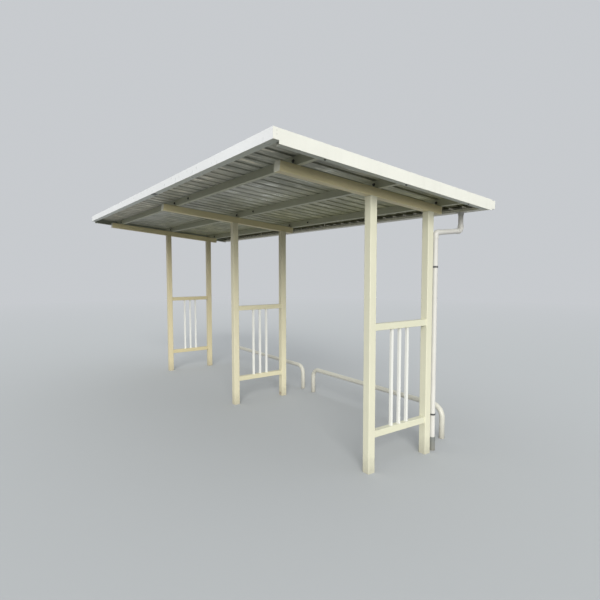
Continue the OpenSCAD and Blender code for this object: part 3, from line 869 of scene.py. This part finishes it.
class SHELTER_OT_wheel_hoops(bpy.types.Operator):
    """Bend the wheel hoops from tube of their real width"""

    bl_idname = "shelter.wheel_hoops"
    bl_label = "Wheel Hoops"

    def execute(self, context):
        sizes = context.scene.shelter_details
        radius, bend = sizes.hoop_tube / 2, sizes.hoop_bend
        ease, eased, steps = 0.002, radius * 0.97, 18
        for node in HOOPS:
            low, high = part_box(node)
            half = (high.y - low.y) / 2
            left, right, top = low.x + half, high.x - half, high.z - half
            foot = low.z + GAP
            bm = bmesh.new()
            rings = [self.ring(bm, (left, foot), 90, eased),
                     self.ring(bm, (left, foot + ease), 90, radius)]
            for start, corner, way in ((90, left, 1), (0, right, -1)):
                for i in range(steps + 1):
                    turn = start - 90 * i / steps
                    a = math.radians(turn)
                    centre = (corner + way * bend * (1 - way * math.sin(a)),
                              top - bend * (1 - math.cos(a)))
                    squeeze = math.sin(math.pi * i / steps)
                    rings.append(self.ring(bm, centre, turn, radius, squeeze))
            rings += [self.ring(bm, (right, foot + ease), -90, radius),
                      self.ring(bm, (right, foot), -90, eased)]
            for v in bm.verts:
                v.co.y += (low.y + high.y) / 2
            skin_closed(bm, rings)
            piece = add_piece(f"{node}_tube", bm, "hoop_paint")
            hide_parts(node)
        return {"FINISHED"}

    def ring(self, bm, centre, turn, radius, squeeze=0.0):
        """Ring square to a path in the XZ plane, a little oval where the tube is bent."""
        a, count = math.radians(turn), 40
        thin, wide = radius * (1 - 0.035 * squeeze), radius * (1 + 0.015 * squeeze)
        x, z = centre
        loop = []
        for k in range(count):
            t = math.tau * k / count
            out = thin * math.cos(t)
            loop.append(bm.verts.new((x - out * math.sin(a), wide * math.sin(t),
                                      z + out * math.cos(a))))
        return loop


class SHELTER_OT_weld_beads(bpy.types.Operator):
    """Weld posts to beams, rails to posts and bars to rails"""

    bl_idname = "shelter.weld_beads"
    bl_label = "Weld Beads"

    def execute(self, context):
        sizes = context.scene.shelter_details
        down = slope_axes()[0]
        fall = -down.z / down.y
        sunk = 0.0005  # how far a post's bead sits below its top
        x, y, z = Vector((1, 0, 0)), Vector((0, 1, 0)), Vector((0, 0, 1))
        bm = bmesh.new()
        for seed, node in enumerate(POSTS):
            low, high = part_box(node)
            loop = square_loop((low + high) / 2, x, y, high.x - low.x, corner=0.005, step=0.004)
            for point in loop:
                point.z = high.z - (point.y - low.y) * fall - sunk
            add_bead(bm, loop, sizes.post_weld, seed)
        add_piece("post_welds", bm, "frame_paint")
        bm = bmesh.new()
        for seed, node in enumerate(RAILS):
            low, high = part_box(node)
            centre = (low + high) / 2
            for end in (low.y, high.y):
                middle = Vector((centre.x, end, centre.z))
                loop = square_loop(middle, x, z, high.x - low.x, corner=0.003, step=0.004)
                add_bead(bm, loop, sizes.rail_weld, seed + end)
        add_piece("rail_welds", bm, "rail_paint")
        bm = bmesh.new()
        for seed, node in enumerate(BARS):
            low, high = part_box(node)
            side = high.x - low.x
            for k in (0, 0.5, 1):
                at = low.y + side / 2 + k * (high.y - low.y - side)
                for end in (low.z, high.z):
                    middle = Vector(((low.x + high.x) / 2, at, end))
                    loop = square_loop(middle, x, y, side, corner=0.002, step=0.003)
                    add_bead(bm, loop, sizes.bar_weld, seed + k)
        add_piece("bar_welds", bm, "bar_paint")
        return {"FINISHED"}


class SHELTER_OT_stage(bpy.types.Operator):
    """Floor, even light, soft lamp and camera"""

    bl_idname = "shelter.stage"
    bl_label = "Studio"

    def execute(self, context):
        studio = context.scene.shelter_studio
        self.make_floor(context, studio)
        self.make_light(context, studio)
        self.make_camera(context, studio)
        context.scene.view_settings.view_transform = "Standard"
        return {"FINISHED"}

    def seen(self, nodes, links):
        """One for camera, glossy and transmission rays, which show the pale studio."""
        path = nodes.new("ShaderNodeLightPath")
        total = path.outputs["Is Camera Ray"]
        for name in ("Is Glossy Ray", "Is Transmission Ray"):
            node = nodes.new("ShaderNodeMath")
            node.operation = "MAXIMUM"
            links.new(total, node.inputs[0])
            links.new(path.outputs[name], node.inputs[1])
            total = node.outputs[0]
        return total

    def make_floor(self, context, studio):
        """Wide plain floor that fades into the backdrop."""
        bm = bmesh.new()
        bmesh.ops.create_circle(bm, cap_ends=True, segments=96, radius=60)
        mesh = bpy.data.meshes.new("floor")
        bm.to_mesh(mesh)
        bm.free()
        f = Finish("floor", 0.85)
        f.shader.inputs["Specular IOR Level"].default_value = 0.0
        near, far = (studio.near_bounce,) * 3, (studio.far_bounce,) * 3
        bounce = f.blend(f.near((0, 0.2, 0), 2.8, 3.5), far, near)
        seen = self.seen(f.nodes, f.material.node_tree.links)
        f.join(f.blend(seen, bounce, tuple(studio.floor)), f.shader.inputs["Base Color"])
        away = f.nodes.new("ShaderNodeEmission")
        away.inputs[0].default_value = (*studio.backdrop, 1)
        fade = f.calc("MULTIPLY", seen, f.span(f.near((0, 0, 0), 5, 16), 1, 0))
        merge = f.nodes.new("ShaderNodeMixShader")
        f.join(fade, merge.inputs[0])
        f.join(f.shader.outputs[0], merge.inputs[1])
        f.join(away.outputs[0], merge.inputs[2])
        f.join(merge.outputs[0], f.nodes["Material Output"].inputs[0])
        mesh.materials.append(f.material)
        floor = bpy.data.objects.new("floor", mesh)
        context.scene.collection.objects.link(floor)

    def make_light(self, context, studio):
        """Even light, weaker from low down, and the soft lamp."""
        world = bpy.data.worlds.new("studio")
        context.scene.world = world
        world.use_nodes = True
        nodes, links = world.node_tree.nodes, world.node_tree.links
        nodes.clear()
        output = nodes.new("ShaderNodeOutputWorld")
        choice = nodes.new("ShaderNodeMixShader")
        shown, sky = nodes.new("ShaderNodeBackground"), nodes.new("ShaderNodeBackground")
        way = nodes.new("ShaderNodeTexCoord")
        height = nodes.new("ShaderNodeSeparateXYZ")
        rise = nodes.new("ShaderNodeMapRange")
        rise.interpolation_type = "SMOOTHSTEP"
        low, high = 0.06, 0.42  # heights between which the even light grows
        for socket, number in zip(rise.inputs[1:5],
                                  (low, high, studio.horizon * studio.sky, studio.sky)):
            socket.default_value = number
        shown.inputs[0].default_value = (*studio.backdrop, 1)
        sky.inputs[0].default_value = (*studio.sky_tint, 1)
        links.new(way.outputs["Generated"], height.inputs[0])
        links.new(height.outputs[2], rise.inputs[0])
        links.new(rise.outputs[0], sky.inputs[1])
        links.new(self.seen(nodes, links), choice.inputs[0])
        links.new(sky.outputs[0], choice.inputs[1])
        links.new(shown.outputs[0], choice.inputs[2])
        links.new(choice.outputs[0], output.inputs[0])
        lamp = bpy.data.lights.new("key", "SUN")
        lamp.energy = studio.key
        lamp.angle = studio.key_spread
        lamp.color = studio.lamp_tint
        key = bpy.data.objects.new("key", lamp)
        key.matrix_world = turned_to(Vector(studio.key_way).normalized(), Vector((8, -5, 3)))
        context.scene.collection.objects.link(key)

    def make_camera(self, context, studio):
        """Camera by its place, yaw, pitch and roll."""
        yaw, pitch, roll = studio.turn
        ahead = Vector((-math.sin(yaw) * math.cos(pitch), math.cos(yaw) * math.cos(pitch),
                        math.sin(pitch)))
        level = Vector((math.cos(yaw), math.sin(yaw), 0))
        upright = level.cross(ahead)
        right = level * math.cos(roll) + upright * math.sin(roll)
        up = upright * math.cos(roll) - level * math.sin(roll)
        data = bpy.data.cameras.new("camera")
        data.sensor_width = 36
        data.lens = studio.lens
        data.clip_start, data.clip_end = 0.05, 300
        camera = bpy.data.objects.new("camera", data)
        camera.matrix_world = Matrix.Translation(Vector(studio.eye)) @ Matrix(
            (right, up, -ahead)).transposed().to_4x4()
        context.scene.collection.objects.link(camera)
        context.scene.camera = camera


STEPS = (
    SHELTER_OT_paint_frames,
    SHELTER_OT_finish_roof,
    SHELTER_OT_finish_pipes,
    SHELTER_OT_purlin_bolts,
    SHELTER_OT_roof_screws,
    SHELTER_OT_fascia_fixings,
    SHELTER_OT_sheet_drips,
    SHELTER_OT_wheel_hoops,
    SHELTER_OT_weld_beads,
    SHELTER_OT_stage,
)


class SHELTER_PT_panel(bpy.types.Panel):
    """Lists the shelter's settings and steps"""

    bl_idname = "SHELTER_PT_panel"
    bl_label = "Bike Shelter"
    bl_space_type = "VIEW_3D"
    bl_region_type = "UI"
    bl_category = "Shelter"

    def draw(self, context):
        layout = self.layout
        for group in SETTINGS:
            box = layout.box()
            box.label(text=group.replace("_", " ").title())
            settings = getattr(context.scene, group)
            for name in settings.bl_rna.properties.keys():
                if name not in ("rna_type", "name"):
                    box.prop(settings, name)
        for step in STEPS:
            layout.operator(step.bl_idname)


SETTINGS = {
    "shelter_finishes": ShelterFinishes,
    "shelter_details": ShelterDetails,
    "shelter_studio": ShelterStudio,
}


def register():
    """Adds the classes and the scene's settings."""
    for cls in (*SETTINGS.values(), *STEPS, SHELTER_PT_panel):
        bpy.utils.register_class(cls)
    for name, group in SETTINGS.items():
        setattr(bpy.types.Scene, name, PointerProperty(type=group))


def unregister():
    """Takes them away again."""
    for name in SETTINGS:
        delattr(bpy.types.Scene, name)
    for cls in (SHELTER_PT_panel, *reversed(STEPS), *SETTINGS.values()):
        bpy.utils.unregister_class(cls)


def main():
    """Runs every step."""
    register()
    for step in STEPS:
        space, name = step.bl_idname.split(".")
        getattr(getattr(bpy.ops, space), name)()
    bpy.context.view_layer.update()


if __name__ == "__main__":
    main()
